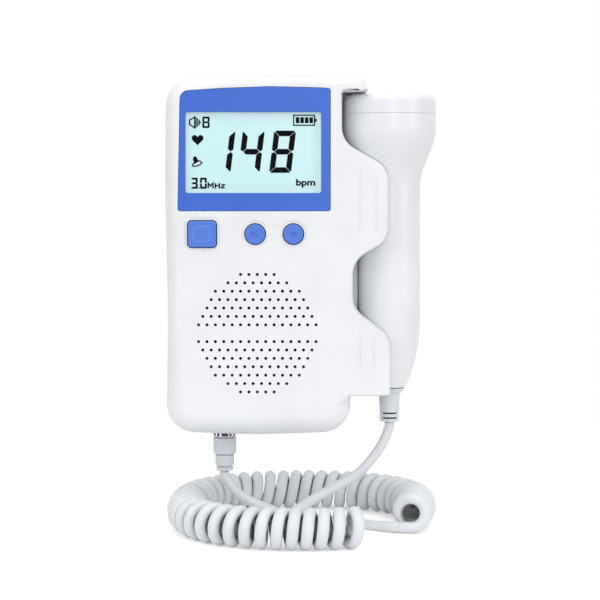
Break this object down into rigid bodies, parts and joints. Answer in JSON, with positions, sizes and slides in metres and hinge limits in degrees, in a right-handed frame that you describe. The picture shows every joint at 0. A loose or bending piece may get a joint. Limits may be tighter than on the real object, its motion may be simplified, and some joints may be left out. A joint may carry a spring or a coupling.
{
  "type": "fetal doppler monitor",
  "caption": "Hand-held ultrasound heartbeat monitor with lit display, blue buttons, perforated speaker and a clip-in probe on a curly cord.",
  "frame": {"origin": "on the flat rear face of the case, on the housing's centre line, 94.3 mm above its lower end", "axes": "+X to the cradle side with the probe, +Z towards the hook and the probe's head, -Y out of the front face"},
  "size_m": [0.102, 0.0964, 0.1703],
  "materials": {
    "white_plastic": "fine satin moulding",
    "blue_plastic": "satin",
    "clear_plastic": "clear",
    "lcd_glass": "lit pale cyan",
    "diffuser": "milky",
    "circuit_board": "solder mask",
    "switch_plastic": "moulded",
    "speaker_steel": "zinc plated",
    "cone_paper": "black paper",
    "screw_steel": "zinc plated",
    "spring_steel": "nickel plated",
    "cell_wrap": null,
    "chrome": "polished",
    "grey_rubber": "satin",
    "grey_cord": "satin",
    "ceramic": "silvered"
  },
  "bodies": {
    "case": {"front_shell": "white_plastic", "rear_shell": "white_plastic", "display_bezel": "blue_plastic", "display_lens": "clear_plastic", "lcd_glass": "lcd_glass", "backlight_plate": "diffuser", "power_switch": "switch_plastic", "volume_switch": "switch_plastic", "mode_switch": "switch_plastic", "main_board": "circuit_board", "board_screw_left": "screw_steel", "board_screw_right": "screw_steel", "speaker_frame": "speaker_steel", "speaker_cone": "cone_paper", "speaker_magnet": "speaker_steel", "battery_left": "cell_wrap", "battery_right": "cell_wrap", "battery_spring_lower": "spring_steel", "battery_spring_upper": "spring_steel", "contact_bridge": "spring_steel", "contact_plus": "spring_steel", "contact_minus": "spring_steel", "case_screw_upper_left": "screw_steel", "case_screw_upper_right": "screw_steel", "case_screw_lower_left": "screw_steel", "case_screw_lower_right": "screw_steel", "probe_socket": "switch_plastic", "curly_cord": "grey_cord", "probe_lead": "grey_cord"},
    "battery_cover": {"battery_door": "white_plastic"},
    "power_cap": {"power_button": "blue_plastic"},
    "volume_cap": {"volume_button": "blue_plastic"},
    "mode_cap": {"mode_button": "blue_plastic"},
    "probe": {"probe_cap": "white_plastic", "probe_front_half": "white_plastic", "probe_rear_half": "white_plastic", "crystal_left": "ceramic", "crystal_right": "ceramic", "crystal_backing": "switch_plastic", "crystal_carrier": "diffuser", "probe_board": "circuit_board", "probe_strain_relief": "grey_rubber"},
    "plug": {"plug_shell": "chrome", "plug_insert": "switch_plastic", "plug_body": "grey_rubber", "plug_lead": "grey_cord"}
  },
  "joints": [
    {"name": "probe_lift_out", "type": "slide", "parent": "case", "child": "probe", "axis": [1, 0, 0], "range_m": [0, 0.02]},
    {"name": "plug_pull", "type": "slide", "parent": "case", "child": "plug", "axis": [0, 0, -1], "range_m": [0, 0.006]},
    {"name": "battery_door_hinge", "type": "hinge", "parent": "case", "child": "battery_cover", "pos_m": [0, 0, -0.0779], "axis": [-1, 0, 0], "range_deg": [0, 90]},
    {"name": "power_press", "type": "slide", "parent": "case", "child": "power_cap", "axis": [0, 1, 0], "range_m": [0, 0.0006], "stiffness_N_per_m": 1500, "springref_m": -0.0006},
    {"name": "volume_press", "type": "slide", "parent": "case", "child": "volume_cap", "axis": [0, 1, 0], "range_m": [0, 0.0006], "stiffness_N_per_m": 1500, "springref_m": -0.0006},
    {"name": "mode_press", "type": "slide", "parent": "case", "child": "mode_cap", "axis": [0, 1, 0], "range_m": [0, 0.0006], "stiffness_N_per_m": 1500, "springref_m": -0.0006}
  ]
}
